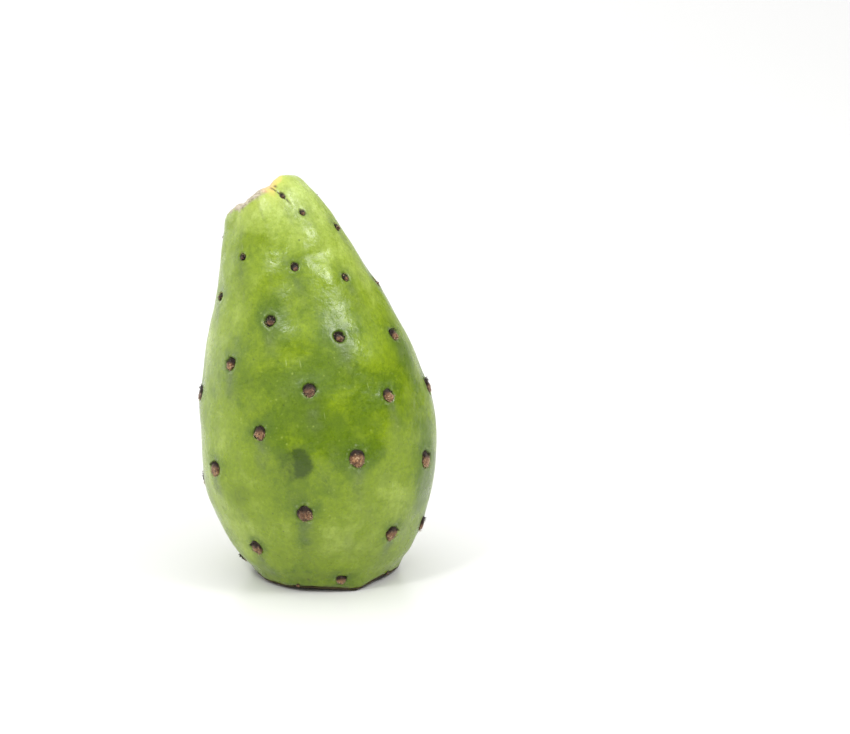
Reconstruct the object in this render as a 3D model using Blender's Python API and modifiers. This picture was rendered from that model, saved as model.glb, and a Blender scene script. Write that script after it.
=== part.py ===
# Prickly pear fruit, as picked, standing on the rim of its flower scar with its cut stem end up.
# It is one solid: the pear-shaped body, its scars and the areoles that grow from its skin.

import math

import bmesh
import bpy
from mathutils import Matrix, Vector

MM = 0.001

# Outline, as (radius, height along the core line) in mm: from the middle of the stem scar,
# over the lip, down the outer side, round the rim and up into the flower scar.
OUTLINE = (
    (0.0, 80.2), (3.0, 80.0), (5.3, 80.3), (6.2, 81.0), (7.2, 81.3), (8.3, 80.7), (9.2, 79.2),
    (10.1, 76.5), (12.0, 71.5), (15.8, 61.0), (20.1, 50.0), (22.8, 40.0), (24.5, 30.0),
    (23.9, 21.0), (21.8, 13.0), (19.0, 7.0), (16.9, 3.1), (16.0, 1.3), (15.1, 0.4), (14.1, -0.3),
    (13.2, 0.0), (12.2, 1.2), (10.6, 3.3), (8.0, 4.7), (4.0, 5.1), (0.0, 4.9),
)
LIP, RIM = 4, 19  # the outline's highest and lowest points
ROW_LENGTH = 2.4  # mm, the longest face along the outline
TURN_STEPS = 52  # faces round the fruit

# The lip isn't level: how much higher it stands, as (degrees right of the front, mm)
LIP_RISE = (
    (-180.0, 0.0), (-90.0, -0.1), (-60.0, 0.05), (-46.0, 0.3), (-29.0, -0.25), (-13.0, 0.1),
    (2.0, 0.35), (24.0, 0.4), (34.0, 0.8), (42.0, 1.0), (52.0, 1.05), (62.0, 0.75), (78.0, 0.35),
    (95.0, 0.2), (120.0, 0.0), (180.0, 0.0),
)
LIP_RISE_INSIDE, LIP_RISE_OUTSIDE = 5.0, 8.0  # mm from the lip, where the rise ends

# Core line: how far it leans at heights along it, in mm and degrees
LEAN = ((0.0, 0.0), (25.0, 3.5), (45.0, 11.2), (60.0, 11.4), (70.0, 16.0), (77.0, 22.0), (82.0, 32.0))
LEAN_TOWARDS = 162.0  # degrees from +X
CORE_STEP = 0.5  # mm between the points that the core line is walked in
CENTRE_SHIFT = (0.71, -0.25)  # mm, which puts the middle of the fruit over the origin

# Areoles: a spiral, numbered down from the stem, drawn out on the fruit's fuller side
FIRST_AREOLE, LAST_AREOLE = 3, 57
MIDDLE_AREOLE = 24  # the one at mid-height, facing the front
MIDDLE_AZIMUTH, MIDDLE_HEIGHT = -6.9, 45.6  # degrees right of the front, mm
DIVERGENCE = 137.72  # degrees from one areole to the next
DROP, DROP_GROWTH = 1.68, 0.005  # mm down per areole, and how that grows
SIDE_DRAW, SIDE_DRAW_RISE = 11.6, 6.1  # degrees, at mid-height and more at the top
FRONT_DRAW = 9.0  # degrees
FRONT_SAG, FRONT_SAG_RISE = -2.1, 3.7  # mm
STEM_TURN, STEM_TURN_FADE = 33.0, 0.4  # degrees at the first areole, and the share kept by the next
RIM_HEIGHT = 1.5  # mm, where the last areoles crowd together
RIM_REACH = -9.0  # mm: past this the spiral has run into the flower scar
HALF_HEIGHT = 42.0  # mm

# How far single areoles have strayed from the spiral: number, then mm to the right and up
STRAYS = {
    3: (-0.1, -0.9), 5: (-1.6, 0.0), 6: (0.8, 0.6), 8: (-0.6, -0.8), 9: (1.0, 1.2), 13: (0.4, -0.6),
    14: (0.2, 0.6), 16: (0.1, -0.5), 17: (0.0, 1.3), 19: (-0.1, -1.0), 21: (0.6, 0.3),
    24: (0.0, -0.4), 26: (0.2, 0.8), 29: (0.0, 1.2), 30: (0.2, 1.0), 32: (0.0, 0.7),
    34: (1.1, 0.0), 35: (0.6, 0.2), 40: (1.3, -1.7), 42: (-0.5, -0.7), 43: (-1.0, -1.5),
    45: (0.3, 0.0), 47: (0.0, 1.0),
}

# Half-width of the pads at heights along the core line, both in mm
PAD_HALF_WIDTHS = (
    (-1.0, 0.6), (2.0, 0.6), (4.0, 1.1), (14.0, 1.55), (31.0, 1.65), (46.0, 1.4), (57.0, 1.2),
    (68.0, 0.9), (77.0, 0.65), (82.0, 0.6),
)
WIDEST_PAD = max(half_width for _, half_width in PAD_HALF_WIDTHS)
PAD_LENGTH_SHARE = 1.05  # how much longer than wide a pad is
PAD_PROUD, PAD_DEPTH = 0.4, 1.0  # mm above the skin and below it, on the widest pad
PAD_SIDES, PAD_RINGS = 8, 6

# Relief: each areole sits at the head of a low swelling
SWELL_HEIGHT, SWELL_SPREAD, SWELL_BELOW = 0.45, 4.6, 2.4  # mm
SWELL_SIZES = (0.85, 1.6)  # strength at the stem and at the belly
SWELL_SIZE_FADE = (80.0, 45.0)  # mm up the core line, from the first to the second
SWELL_FROM = (2.5, 6.0)  # mm: no swelling on the rim, all of it above this

SKIN_COLOUR = (0.26, 0.38, 0.045, 1.0)
SKIN_ROUGHNESS = 0.38


def smooth_between(stations, at):
    """The value at a place, on a smooth curve through (place, value) stations."""
    places = [place for place, _ in stations]
    values = [value for _, value in stations]
    last = len(places) - 2
    i = min(max(sum(place <= at for place in places) - 1, 0), last)

    def slope(k):
        low, high = max(k - 1, 0), min(k + 1, last + 1)
        return (values[high] - values[low]) / (places[high] - places[low])

    width = places[i + 1] - places[i]
    t = min(max((at - places[i]) / width, 0.0), 1.0)
    return (
        (2 * t**3 - 3 * t**2 + 1) * values[i]
        + (t**3 - 2 * t**2 + t) * width * slope(i)
        + (3 * t**2 - 2 * t**3) * values[i + 1]
        + (t**3 - t**2) * width * slope(i + 1)
    )


def ease(low, high, value):
    t = min(max((value - low) / (high - low), 0.0), 1.0)
    return t * t * (3 - 2 * t)


def outline_stations():
    """The outline's radius and height, each against the length walked along it."""
    walked = [0.0]
    for (r0, h0), (r1, h1) in zip(OUTLINE, OUTLINE[1:]):
        walked.append(walked[-1] + math.hypot(r1 - r0, h1 - h0))
    radii = [(w, r) for w, (r, _) in zip(walked, OUTLINE)]
    heights = [(w, h) for w, (_, h) in zip(walked, OUTLINE)]
    return radii, heights


RADII, HEIGHTS = outline_stations()
LIP_WALKED, RIM_WALKED = RADII[LIP][0], RADII[RIM][0]


def outline_point(walked):
    return smooth_between(RADII, walked), smooth_between(HEIGHTS, walked)


def walked_at_height(height):
    """Length along the outline where the outer side is at this height."""
    low, high = LIP_WALKED, RIM_WALKED
    for _ in range(30):
        middle = (low + high) / 2
        if outline_point(middle)[1] > height:
            low = middle
        else:
            high = middle
    return low


def rows():
    """The outline's rows, as lengths walked along it: closer together where it turns sharply."""
    found = [0.0]
    for (start, _), (end, _) in zip(RADII, RADII[1:]):
        count = math.ceil((end - start) / ROW_LENGTH)
        found += [start + (end - start) * (i + 1) / count for i in range(count)]
    return found


ROWS = rows()


def core_line():
    """Sideways travel and true height of the leaning core line, every CORE_STEP of its length."""
    points = [(0.0, 0.0)]
    while (len(points) - 1) * CORE_STEP < LEAN[-1][0]:
        lean = math.radians(smooth_between(LEAN, (len(points) - 0.5) * CORE_STEP))
        sideways, up = points[-1]
        points.append((sideways + CORE_STEP * math.sin(lean), up + CORE_STEP * math.cos(lean)))
    return points


CORE = core_line()
LEAN_WAY = Vector((math.cos(math.radians(LEAN_TOWARDS)), math.sin(math.radians(LEAN_TOWARDS)), 0))
UP = Vector((0, 0, 1))


def lean_over(point):
    """Where a point of the upright turned form goes, in mm, once the core line leans."""
    height = min(max(point.z, 0.0), LEAN[-1][0])
    step = min(int(height / CORE_STEP), len(CORE) - 2)
    part = height / CORE_STEP - step
    sideways = CORE[step][0] + part * (CORE[step + 1][0] - CORE[step][0])
    up = CORE[step][1] + part * (CORE[step + 1][1] - CORE[step][1])
    lean = math.radians(smooth_between(LEAN, height))
    flat = Vector((point.x, point.y, 0))
    across = flat.dot(LEAN_WAY)
    tipped = flat - across * LEAN_WAY + across * (math.cos(lean) * LEAN_WAY - math.sin(lean) * UP)
    along = (point.z - height) * (math.sin(lean) * LEAN_WAY + math.cos(lean) * UP)
    shift = Vector((*CENTRE_SHIFT, 0))
    return sideways * LEAN_WAY + up * UP + tipped + along + shift


def around(azimuth):
    """Flat direction, from an azimuth in degrees to the right of the front."""
    turn = math.radians(azimuth)
    return Vector((math.sin(turn), -math.cos(turn), 0))


def lip_rise(azimuth, walked):
    """How much higher the lip stands here, in mm, than the level outline."""
    inside = ease(LIP_WALKED - LIP_RISE_INSIDE, LIP_WALKED, walked)
    outside = ease(LIP_WALKED + LIP_RISE_OUTSIDE, LIP_WALKED, walked)
    return smooth_between(LIP_RISE, (azimuth + 180.0) % 360.0 - 180.0) * inside * outside


def areoles():
    """(azimuth, length walked, swelling's strength, pad's half-width) of each areole."""
    found = []
    for number in range(FIRST_AREOLE, LAST_AREOLE + 1):
        below = number - MIDDLE_AREOLE
        turn = math.radians(MIDDLE_AZIMUTH + DIVERGENCE * below)
        height = MIDDLE_HEIGHT - DROP * below - DROP_GROWTH * below**2
        rise = (height - HALF_HEIGHT) / HALF_HEIGHT
        azimuth = math.degrees(turn) + FRONT_DRAW * math.cos(turn)
        azimuth -= (SIDE_DRAW + SIDE_DRAW_RISE * rise) * math.sin(turn)
        azimuth += STEM_TURN * STEM_TURN_FADE ** (number - FIRST_AREOLE)
        height += (FRONT_SAG + FRONT_SAG_RISE * rise) * math.cos(turn)
        if height < RIM_REACH:
            continue
        walked = walked_at_height(max(height, RIM_HEIGHT))
        right, up = STRAYS.get(number, (0.0, 0.0))
        azimuth += math.degrees(right / outline_point(walked)[0])
        small, large = SWELL_SIZES
        size = small + (large - small) * ease(*SWELL_SIZE_FADE, height)
        found.append((azimuth, walked - up, size, smooth_between(PAD_HALF_WIDTHS, height)))
    return found


AREOLES = areoles()


def swelling(direction, walked, radius, height):
    """How far the skin stands out here, in mm, because of the areoles round about."""
    if height < SWELL_FROM[0]:
        return 0.0
    total = 0.0
    for azimuth, areole_walked, size, _ in AREOLES:
        down = walked - areole_walked - SWELL_BELOW
        if abs(down) > 3 * SWELL_SPREAD:
            continue
        across = radius * direction.angle(around(azimuth))
        total += math.exp(-(down**2 + across**2) / (2 * SWELL_SPREAD**2)) * size
    return SWELL_HEIGHT * total * ease(*SWELL_FROM, height)


def skin_point(azimuth, walked):
    """A point of the finished skin, in mm."""
    radius, height = outline_point(walked)
    direction = around(azimuth)
    if LIP_WALKED < walked < RIM_WALKED:
        radius += swelling(direction, walked, radius, height)
    return lean_over(direction * radius + (height + lip_rise(azimuth, walked)) * UP)


def skin_frame(azimuth, walked):
    """Place, outward direction and upward direction on the skin."""
    reach = 0.2  # mm
    place = skin_point(azimuth, walked)
    upward = (skin_point(azimuth, walked - reach) - skin_point(azimuth, walked + reach)).normalized()
    turn = math.degrees(reach / outline_point(walked)[0])
    sideways = skin_point(azimuth + turn, walked) - skin_point(azimuth - turn, walked)
    return place, sideways.cross(upward).normalized(), upward


def plain_material(name, colour, roughness):
    material = bpy.data.materials.new(name)
    material.use_nodes = True
    shader = material.node_tree.nodes["Principled BSDF"]
    shader.inputs["Base Color"].default_value = colour
    shader.inputs["Roughness"].default_value = roughness
    shader.inputs["Metallic"].default_value = 0.0
    return material


def new_object(name, mesh, collection):
    made = bpy.data.objects.new(name, mesh)
    collection.objects.link(made)
    return made


def applied(target):
    """Replaces an object's mesh by the evaluated one, with its modifiers applied."""
    bpy.context.view_layer.update()
    evaluated = target.evaluated_get(bpy.context.evaluated_depsgraph_get())
    mesh = bpy.data.meshes.new_from_object(evaluated)
    target.modifiers.clear()
    target.data = mesh
    return mesh


def turned_body(name, collection):
    """The outline turned about its axis, upright, in mm."""
    profile = bpy.data.meshes.new(name)
    points = [(radius, 0.0, height) for radius, height in map(outline_point, ROWS)]
    profile.from_pydata(points, [(i, i + 1) for i in range(len(points) - 1)], [])
    body = new_object(name, profile, collection)
    screw = body.modifiers.new("Turn", "SCREW")
    screw.axis = "Z"
    screw.angle = math.tau
    screw.steps = screw.render_steps = TURN_STEPS
    screw.use_merge_vertices = True
    screw.merge_threshold = 0.0001
    return body


def shape_skin(mesh):
    """Swells the upright form round its areoles and leans it over."""

    def key(radius, height):
        return round(radius, 2), round(height, 2)

    walked_at = {key(*outline_point(walked)): walked for walked in ROWS}
    for vertex in mesh.vertices:
        walked = walked_at[key(math.hypot(vertex.co.x, vertex.co.y), vertex.co.z)]
        vertex.co = skin_point(math.degrees(math.atan2(vertex.co.x, -vertex.co.y)), walked)


def areole_pads(collection):
    """One small flattened ball for each areole, sunk into the skin."""
    for number, (azimuth, walked, _, half_width) in enumerate(AREOLES):
        place, outward, upward = skin_frame(azimuth, walked)
        sideways = upward.cross(outward)
        axes = Matrix((sideways, upward, outward)).transposed().to_4x4()
        share = half_width / WIDEST_PAD
        thickness = (PAD_PROUD + PAD_DEPTH) / 2 * share
        centre = place + outward * (PAD_PROUD * share - thickness)
        size = Matrix.Diagonal((half_width, half_width * PAD_LENGTH_SHARE, thickness, 1))
        pad = bmesh.new()
        bmesh.ops.create_uvsphere(
            pad,
            u_segments=PAD_SIDES,
            v_segments=PAD_RINGS,
            radius=1.0,
            matrix=Matrix.Translation(centre) @ axes @ size,
        )
        mesh = bpy.data.meshes.new(f"areole_{number:02d}")
        pad.to_mesh(mesh)
        pad.free()
        new_object(mesh.name, mesh, collection)


def join_and_flatten(body, pads, cutters):
    """Joins the pads to the body and wears the rim flat where the fruit stands on it."""
    join = body.modifiers.new("Areoles", "BOOLEAN")
    join.operation = "UNION"
    join.operand_type = "COLLECTION"
    join.collection = pads
    join.solver = "EXACT"
    ground = bpy.data.meshes.new("ground")
    block = bmesh.new()
    depth, width = 10.0, 80.0  # mm
    placed = Matrix.Translation((0, 0, -depth / 2)) @ Matrix.Diagonal((width, width, depth, 1))
    bmesh.ops.create_cube(block, size=1.0, matrix=placed)
    block.to_mesh(ground)
    block.free()
    cutter = new_object("ground", ground, cutters)
    cutter.hide_render = True
    cutter.display_type = "WIRE"
    wear = body.modifiers.new("Rim", "BOOLEAN")
    wear.operation = "DIFFERENCE"
    wear.object = cutter
    wear.solver = "EXACT"
    mesh = applied(body)
    for pad in list(pads.objects):
        bpy.data.objects.remove(pad)
    bpy.data.objects.remove(cutter)
    return mesh


def build():
    for left_over in list(bpy.data.objects):
        bpy.data.objects.remove(left_over)
    collections = [bpy.data.collections.new(name) for name in ("prickly_pear", "pads", "cutters")]
    fruit, pads, cutters = collections
    for collection in collections:
        bpy.context.scene.collection.children.link(collection)

    body = turned_body("prickly_pear_fruit", fruit)
    shape_skin(applied(body))
    areole_pads(pads)
    mesh = join_and_flatten(body, pads, cutters)
    mesh.transform(Matrix.Scale(MM, 4))
    mesh.shade_smooth()
    mesh.set_sharp_from_angle(angle=math.radians(50))
    mesh.materials.clear()
    mesh.materials.append(plain_material("green_skin", SKIN_COLOUR, SKIN_ROUGHNESS))
    for helper in (pads, cutters):
        bpy.data.collections.remove(helper)


build()
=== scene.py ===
import math
import random

import bmesh
import bpy
import numpy as np
from mathutils import Matrix, Vector, noise


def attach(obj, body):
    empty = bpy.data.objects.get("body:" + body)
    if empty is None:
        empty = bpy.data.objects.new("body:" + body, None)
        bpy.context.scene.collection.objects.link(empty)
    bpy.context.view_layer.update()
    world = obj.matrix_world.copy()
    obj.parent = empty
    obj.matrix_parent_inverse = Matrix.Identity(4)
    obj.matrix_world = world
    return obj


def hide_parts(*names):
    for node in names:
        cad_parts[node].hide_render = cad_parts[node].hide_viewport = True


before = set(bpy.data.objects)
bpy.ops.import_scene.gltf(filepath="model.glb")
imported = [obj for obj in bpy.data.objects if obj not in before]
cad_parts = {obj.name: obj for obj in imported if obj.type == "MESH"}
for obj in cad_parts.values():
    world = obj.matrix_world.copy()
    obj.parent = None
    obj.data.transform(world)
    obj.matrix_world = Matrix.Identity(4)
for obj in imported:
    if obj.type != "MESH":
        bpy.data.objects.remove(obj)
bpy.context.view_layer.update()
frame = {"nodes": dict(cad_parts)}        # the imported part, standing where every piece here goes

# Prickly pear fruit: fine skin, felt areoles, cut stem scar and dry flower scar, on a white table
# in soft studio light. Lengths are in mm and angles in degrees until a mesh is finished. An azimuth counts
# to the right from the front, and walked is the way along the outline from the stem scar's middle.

mm = 0.001
print("frame loaded:", ", ".join(frame["nodes"]))


# The form that every piece follows

fruitForm = {
    # (radius, height along the core line): the stem scar's middle, its lip, the outer side, the rim that
    # it stands on, the flower scar's middle
    "outline": (
        (0.0, 80.2), (3.0, 80.0), (5.3, 80.3), (6.2, 81.0), (7.2, 81.3), (8.3, 80.7), (9.2, 79.2),
        (10.1, 76.5), (12.0, 71.5), (15.8, 61.0), (20.1, 50.0), (22.8, 40.0), (24.5, 30.0),
        (23.9, 21.0), (21.8, 13.0), (19.0, 7.0), (16.9, 3.1), (16.0, 1.3), (15.1, 0.4), (14.1, -0.3),
        (13.2, 0.0), (12.2, 1.2), (10.6, 3.3), (8.0, 4.7), (4.0, 5.1), (0.0, 4.9),
    ),
    "lipPoint": 4,  # the outline's highest point
    "rimPoint": 19,  # and its lowest
    "lean": ((0.0, 0.0), (25.0, 3.5), (45.0, 11.2), (60.0, 11.4), (70.0, 16.0), (77.0, 22.0), (82.0, 32.0)),
    "leanTowards": 162.0,  # from +X
    "centreShift": (0.71, -0.25, 0.0),
    # The lip isn't level: (azimuth, how much higher it stands), and where that starts, is full, fades
    # and ends
    "lipRise": (
        (-180.0, 0.0), (-90.0, -0.1), (-60.0, 0.05), (-46.0, 0.3), (-29.0, -0.25), (-13.0, 0.1),
        (2.0, 0.35), (24.0, 0.4), (34.0, 0.8), (42.0, 1.0), (52.0, 1.05), (62.0, 0.75), (78.0, 0.35),
        (95.0, 0.2), (120.0, 0.0), (180.0, 0.0),
    ),
    "lipRiseReach": (-5.0, 0.0, 0.0, 8.0),
    # Nor is the rim round: (azimuth, how far it stands out, how far it hangs above the table), and for each
    # of the two where it starts, is full, fades and ends
    "rimCorners": (
        (-180.0, 0.0, 0.0), (-120.0, -0.3, 0.0), (-85.0, -1.0, 0.0), (-60.0, -0.9, 0.1), (-50.0, -0.5, 0.1),
        (-30.0, 0.1, 0.3), (-12.0, 0.5, 0.6), (4.0, 0.5, 0.6), (20.0, 1.1, 0.15), (27.0, 1.4, 0.0),
        (36.0, 0.7, 0.25), (50.0, 0.0, 0.6), (65.0, 0.1, 0.5), (85.0, 0.4, 0.1), (100.0, 0.2, 0.0),
        (150.0, 0.2, 0.3), (180.0, 0.0, 0.0),
    ),
    "rimOutReach": (-10.0, -1.6, -0.5, 1.5),
    "rimUpReach": (-3.5, -1.2, 1.5, 6.0),
}

outlineRadii, outlineHeights = np.array(fruitForm["outline"]).T
walkedAlong = np.concatenate(([0.0], np.cumsum(np.hypot(np.diff(outlineRadii), np.diff(outlineHeights)))))
lipWalked = walkedAlong[fruitForm["lipPoint"]]
rimWalked = walkedAlong[fruitForm["rimPoint"]]
leanPlaces, leanAngles = np.array(fruitForm["lean"]).T
leanTurn = math.radians(fruitForm["leanTowards"])
leanWay = np.array((math.cos(leanTurn), math.sin(leanTurn), 0.0))
upWay = np.array((0.0, 0.0, 1.0))


def smoothBetween(places, values, at):  # a smooth curve through the stations
    count = np.arange(len(places))
    low, high = np.maximum(count - 1, 0), np.minimum(count + 1, len(places) - 1)
    slopes = (values[high] - values[low]) / (places[high] - places[low])
    i = np.clip(np.searchsorted(places, at, side="right") - 1, 0, len(places) - 2)
    width = places[i + 1] - places[i]
    t = np.clip((at - places[i]) / width, 0.0, 1.0)
    return (
        (2 * t**3 - 3 * t**2 + 1) * values[i]
        + (t**3 - 2 * t**2 + t) * width * slopes[i]
        + (3 * t**2 - 2 * t**3) * values[i + 1]
        + (t**3 - t**2) * width * slopes[i + 1]
    )


def ease(low, high, value):  # from 0 at low to 1 at high
    part = np.clip((np.asarray(value, float) - low) / (high - low), 0.0, 1.0)
    return part * part * (3 - 2 * part)


def within(stations, value):  # 0 outside the first and last station, 1 between the middle two
    start, full, fading, end = stations
    return ease(start, full, value) * ease(end, fading, value)


def outlineAt(walked):  # radius and height, this far along the outline from the stem scar's middle
    walked = np.asarray(walked, float)
    radius = smoothBetween(walkedAlong, outlineRadii, walked)
    return radius, smoothBetween(walkedAlong, outlineHeights, walked)


outerSide = np.linspace(lipWalked, rimWalked, 1200)
outerHeights = outlineAt(outerSide)[1]


def walkedAtHeight(height):  # where on the outer side this height is
    return float(np.interp(-height, -outerHeights, outerSide))


coreStep = 0.5
coreHeights = np.arange(0.0, leanPlaces[-1] + coreStep / 2, coreStep)
coreLeans = np.radians(smoothBetween(leanPlaces, leanAngles, coreHeights[1:] - coreStep / 2))
coreSide = np.concatenate(([0.0], np.cumsum(coreStep * np.sin(coreLeans))))
coreUp = np.concatenate(([0.0], np.cumsum(coreStep * np.cos(coreLeans))))


def leanOver(upright):  # where points of the upright form go once the core line leans
    height = np.clip(upright[:, 2], 0.0, leanPlaces[-1])
    lean = np.radians(smoothBetween(leanPlaces, leanAngles, height))[:, None]
    sideways = np.interp(height, coreHeights, coreSide)[:, None]
    risen = np.interp(height, coreHeights, coreUp)[:, None]
    flat = upright * (1, 1, 0)
    across = (flat @ leanWay)[:, None]
    tipped = flat - across * leanWay + across * (np.cos(lean) * leanWay - np.sin(lean) * upWay)
    along = (upright[:, 2] - height)[:, None] * (np.sin(lean) * leanWay + np.cos(lean) * upWay)
    return sideways * leanWay + risen * upWay + tipped + along + np.array(fruitForm["centreShift"])


lipRisePlaces, lipRises = np.array(fruitForm["lipRise"]).T
rimPlaces, rimOutwards, rimUpwards = np.array(fruitForm["rimCorners"]).T


def wrapped(angle):
    return (angle + 180.0) % 360.0 - 180.0


def lipRise(azimuth, walked):
    near = within(fruitForm["lipRiseReach"], walked - lipWalked)
    return smoothBetween(lipRisePlaces, lipRises, wrapped(azimuth)) * near


def rimShift(azimuth, walked):  # (out, up) from the round rim
    turn, fromRim = wrapped(azimuth), walked - rimWalked
    out = smoothBetween(rimPlaces, rimOutwards, turn) * within(fruitForm["rimOutReach"], fromRim)
    up = smoothBetween(rimPlaces, rimUpwards, turn) * within(fruitForm["rimUpReach"], fromRim)
    return out, up


# Areoles: the spiral that they follow, and how big each is

areoleSpiral = {
    "first": 3,
    "last": 57,
    "middle": 24,  # the one at mid-height that faces the front
    "middleAzimuth": -6.9,  # to the right of the front
    "middleHeight": 45.6,
    "divergence": 137.72,  # turn from each to the next one down
    "drop": 1.68,  # how much lower that one is
    "dropGrowth": 0.005,
    "sideDraw": 11.6,  # how far those at the sides are drawn to the front, and how much further by the stem
    "sideDrawRise": 6.1,
    "frontDraw": 9.0,  # how far those at the front are drawn to the right
    "frontLift": -2.1,  # how much higher those at the front are, and how much more by the stem
    "frontLiftRise": 3.7,
    "stemTurn": 33.0,  # how much further round the first is, and the share of it that each next one keeps
    "stemTurnFade": 0.4,
    "rimHeight": 1.5,  # where those below it crowd
    "rimReach": -9.0,  # and the last height that still gets one
    "halfHeight": 42.0,
    # (height, half-width) and (height, share of the pit that the felt fills)
    "halfWidths": (
        (-1.0, 0.32), (2.0, 0.38), (3.0, 1.1), (14.0, 1.6), (31.0, 1.72),
        (46.0, 1.5), (57.0, 1.28), (68.0, 0.95), (77.0, 0.6), (82.0, 0.45),
    ),
    "fills": ((0.0, 1.0), (35.0, 1.0), (46.0, 0.92), (53.0, 0.56), (80.0, 0.45)),
    "tallness": 1.05,
    "swellSizes": (0.85, 1.6),  # size of the swelling under one at each of these heights
    "swellHeights": (80.0, 45.0),
    # Some are smaller than their height says, and some have paler felt than others, from 0 to 1
    "sizes": {11: 0.93, 14: 0.84, 22: 0.9, 24: 0.93, 27: 0.82, 29: 0.84},
    "paleness": {
        8: 0.3, 11: 0.3, 14: 0.7, 16: 0.35, 19: 0.5, 22: 0.9, 24: 0.2, 27: 0.95, 29: 0.6, 32: 1.0, 34: 0.9,
        35: 1.0, 37: 0.6, 40: 0.8, 42: 0.8, 45: 0.9,
    },
    "palenessStep": 0.618,  # spreads the paleness of the rest
    # How far single ones have strayed from the spiral: (right, up)
    "strays": {
        3: (-0.1, -0.9), 5: (-1.6, 0.0), 6: (0.8, 0.6), 8: (-0.6, -0.8), 9: (1.0, 1.2), 13: (0.4, -0.6),
        14: (0.2, 0.6), 16: (0.1, -0.5), 17: (0.0, 1.3), 19: (-0.1, -1.0), 21: (0.6, 0.3), 24: (0.0, -0.4),
        26: (0.2, 0.8), 29: (0.0, 1.2), 30: (0.2, 1.0), 32: (0.0, 0.7), 34: (1.1, 0.0), 35: (0.6, 0.2),
        40: (1.3, -1.7), 42: (-0.5, -0.7), 43: (-1.0, -1.5), 45: (0.3, 0.0), 47: (0.0, 1.0),
    },
}


def areoleSpots():
    s = areoleSpiral
    halfPlaces, halfValues = np.array(s["halfWidths"]).T
    fillPlaces, fillValues = np.array(s["fills"]).T
    small, large = s["swellSizes"]
    found = []
    for number in range(s["first"], s["last"] + 1):
        below = number - s["middle"]
        turn = math.radians(s["middleAzimuth"] + s["divergence"] * below)
        height = s["middleHeight"] - s["drop"] * below - s["dropGrowth"] * below**2
        rise = (height - s["halfHeight"]) / s["halfHeight"]
        azimuth = math.degrees(turn) + s["frontDraw"] * math.cos(turn)
        azimuth -= (s["sideDraw"] + s["sideDrawRise"] * rise) * math.sin(turn)
        azimuth += s["stemTurn"] * s["stemTurnFade"] ** (number - s["first"])
        height += (s["frontLift"] + s["frontLiftRise"] * rise) * math.cos(turn)
        if height < s["rimReach"]:
            continue
        walked = walkedAtHeight(max(height, s["rimHeight"]))
        right, up = s["strays"].get(number, (0.0, 0.0))
        azimuth += math.degrees(right / float(outlineAt(walked)[0]))
        found.append({
            "number": number,
            "azimuth": wrapped(azimuth),
            "walked": walked - up,
            "half": float(np.interp(height, halfPlaces, halfValues)) * s["sizes"].get(number, 1.0),
            "paleness": s["paleness"].get(number, number * s["palenessStep"] % 1.0),
            "fill": float(np.interp(height, fillPlaces, fillValues)),
            "size": small + (large - small) * float(ease(*s["swellHeights"], height)),
        })
    return found


spots = areoleSpots()


def offsetsFrom(azimuth, walked, radius, fromAzimuth, fromWalked):  # (right, up) along the skin
    return radius * np.radians(wrapped(azimuth - fromAzimuth)), fromWalked - walked


swell = {
    "height": 0.45,
    "spread": 4.6,
    "below": 2.4,  # its middle, from the areole's
    "belowLip": (0.0, 2.0),  # fades in here
    "aboveRim": (2.5, 6.0),  # and out here
}


def swelling(azimuth, walked, radius, height):  # the low swelling that each areole heads
    total = np.zeros_like(walked)
    for spot in spots:
        across, up = offsetsFrom(azimuth, walked, radius, spot["azimuth"], spot["walked"] + swell["below"])
        total += np.exp(-(up**2 + across**2) / (2 * swell["spread"] ** 2)) * spot["size"]
    outside = ease(*swell["belowLip"], walked - lipWalked) * (walked < rimWalked)
    return swell["height"] * total * outside * ease(*swell["aboveRim"], height)


def uprightPoints(azimuth, walked, lift=0.0):  # places on the skin before the fruit leans over
    reach = 0.1
    radius, height = outlineAt(walked)
    beforeRadius, beforeHeight = outlineAt(np.maximum(walked - reach, 0.0))
    afterRadius, afterHeight = outlineAt(np.minimum(walked + reach, walkedAlong[-1]))
    out = np.stack((beforeHeight - afterHeight, afterRadius - beforeRadius))
    out /= np.maximum(np.hypot(*out), 1e-9)
    rimOut, rimUp = rimShift(azimuth, walked)
    radius = radius + swelling(azimuth, walked, radius, height) + lift * out[0] + rimOut
    height = height + lift * out[1] + lipRise(azimuth, walked) + rimUp
    turn = np.radians(azimuth)
    return np.column_stack((radius * np.sin(turn), -radius * np.cos(turn), height))


def skinFrame(azimuth, walked):  # matrix of a place on the skin: X to the right, Y up along it, Z outwards
    reach = 0.3
    turn = math.degrees(reach / float(outlineAt(walked)[0]))
    azimuths = np.array((azimuth, azimuth, azimuth, azimuth + turn, azimuth - turn))
    walks = np.array((walked, walked - reach, walked + reach, walked, walked))
    place, above, below, right, left = map(Vector, leanOver(uprightPoints(azimuths, walks)))
    upward = (above - below).normalized()
    outward = (right - left).cross(upward).normalized()
    turned = Matrix((upward.cross(outward), upward, outward)).transposed().to_4x4()
    return Matrix.Translation(place) @ turned


# Helpers for meshes and materials

mergeDistance = 0.0005
farAway = 99.0
noiseShift = (17.3, 5.1, 9.7)  # how far apart the patterns of two seeds lie


def finishPiece(name, made, material):
    # Keeps the mesh above the table, scales it to metres, paints it and sets it on the fruit's body.
    for vert in made.verts:
        vert.co.z = max(vert.co.z, 0.0)
    bmesh.ops.recalc_face_normals(made, faces=made.faces)
    mesh = bpy.data.meshes.new(name)
    made.to_mesh(mesh)
    made.free()
    mesh.transform(Matrix.Scale(mm, 4))
    mesh.shade_smooth()
    mesh.materials.append(material)
    piece = bpy.data.objects.new(name, mesh)
    bpy.context.scene.collection.objects.link(piece)
    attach(piece, "root")
    print(f"{name}: {sum(len(face.vertices) - 2 for face in mesh.polygons)} triangles")
    return piece


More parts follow.
